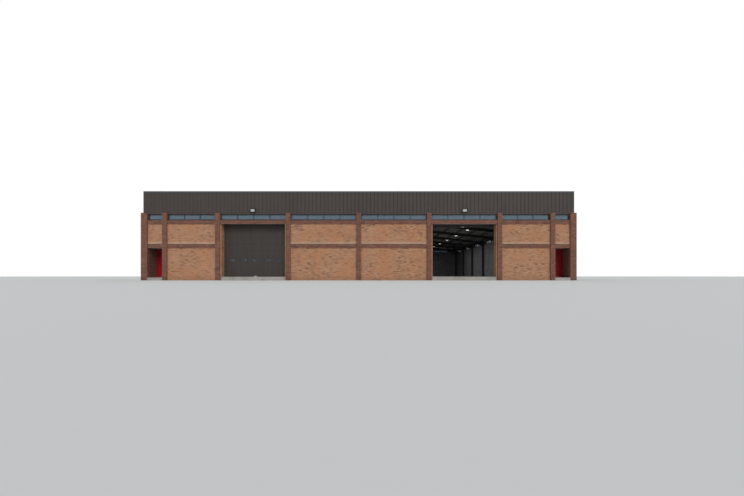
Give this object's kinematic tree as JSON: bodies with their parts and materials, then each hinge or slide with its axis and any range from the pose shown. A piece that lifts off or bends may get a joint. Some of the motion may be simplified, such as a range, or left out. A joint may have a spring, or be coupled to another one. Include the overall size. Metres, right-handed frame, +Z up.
{
  "type": "industrial warehouse",
  "caption": "Industrial warehouse of paired halls with brick panels between piers, ribbed metal parapet, high windows, sectional vehicle doors and hinged entrance doors in deep recesses.",
  "frame": {"origin": "bottom centre of the whole building's box, at the foot of the walls; the floodlights on the front count", "axes": "+X along the front towards the open doorway, +Y from the front to the back, +Z up"},
  "size_m": [30.84, 35.5206, 6.335],
  "materials": {
    "buff_brick": "wirecut facing brick",
    "brown_brick": "dark facing brick",
    "concrete": "float finished concrete",
    "blockwork": "painted blockwork",
    "fascia_metal": "matt plastic coated sheet",
    "coping_metal": "satin",
    "galvanised_steel": "galvanised",
    "frame_steel": "matt primer",
    "roof_sheet": "matt plastic coated sheet",
    "window_metal": "satin",
    "window_glass": "clear",
    "door_metal": "satin",
    "door_glazing": "clear acrylic",
    "red_paint": "gloss",
    "handle_aluminium": "satin",
    "lamp_metal": "satin",
    "lamp_glass": "clear",
    "light_acrylic": "prismatic acrylic, lit from within"
  },
  "bodies": {
    "building": {"bay_lights": "light_acrylic", "brick_bands": "brown_brick", "brick_piers": "brown_brick", "cladding_rails": "galvanised_steel", "columns": "frame_steel", "coping": "coping_metal", "corner_piers": "brown_brick", "corner_trims": "fascia_metal", "door_brackets": "galvanised_steel", "door_jambs": "buff_brick", "door_panes": "door_glazing", "door_runs": "galvanised_steel", "door_shafts": "galvanised_steel", "door_uprights": "galvanised_steel", "eaves_beams": "frame_steel", "entrance_frames": "red_paint", "entrance_steps": "concrete", "floodlight_brackets": "lamp_metal", "floodlight_panes": "lamp_glass", "floodlights": "lamp_metal", "floor_slab": "concrete", "frame_hinges": "galvanised_steel", "front_fascia": "fascia_metal", "front_panels": "buff_brick", "gutters": "galvanised_steel", "left_door_sections": "door_metal", "left_fascia": "fascia_metal", "left_panels": "buff_brick", "parapet_posts": "galvanised_steel", "party_wall": "blockwork", "purlins": "galvanised_steel", "rafters": "frame_steel", "rear_fascia": "fascia_metal", "rear_panels": "buff_brick", "recess_ceilings": "concrete", "recess_walls": "brown_brick", "ridge_caps": "roof_sheet", "right_door_sections": "door_metal", "right_fascia": "fascia_metal", "right_panels": "buff_brick", "roof_panels": "roof_sheet", "window_frames": "window_metal", "window_glass": "window_glass"},
    "left_door": {"left_entrance_door": "red_paint", "left_door_handles": "handle_aluminium"},
    "right_door": {"right_entrance_door": "red_paint", "right_door_handles": "handle_aluminium"}
  },
  "joints": [
    {"name": "left_door_hinge", "type": "hinge", "parent": "building", "child": "left_door", "pos_m": [-15.0025, -16.34225, 1.25], "axis": [0, 0, 1], "range_deg": [0, 90]},
    {"name": "right_door_hinge", "type": "hinge", "parent": "building", "child": "right_door", "pos_m": [15.0025, -16.34225, 1.25], "axis": [0, 0, -1], "range_deg": [0, 90]}
  ]
}
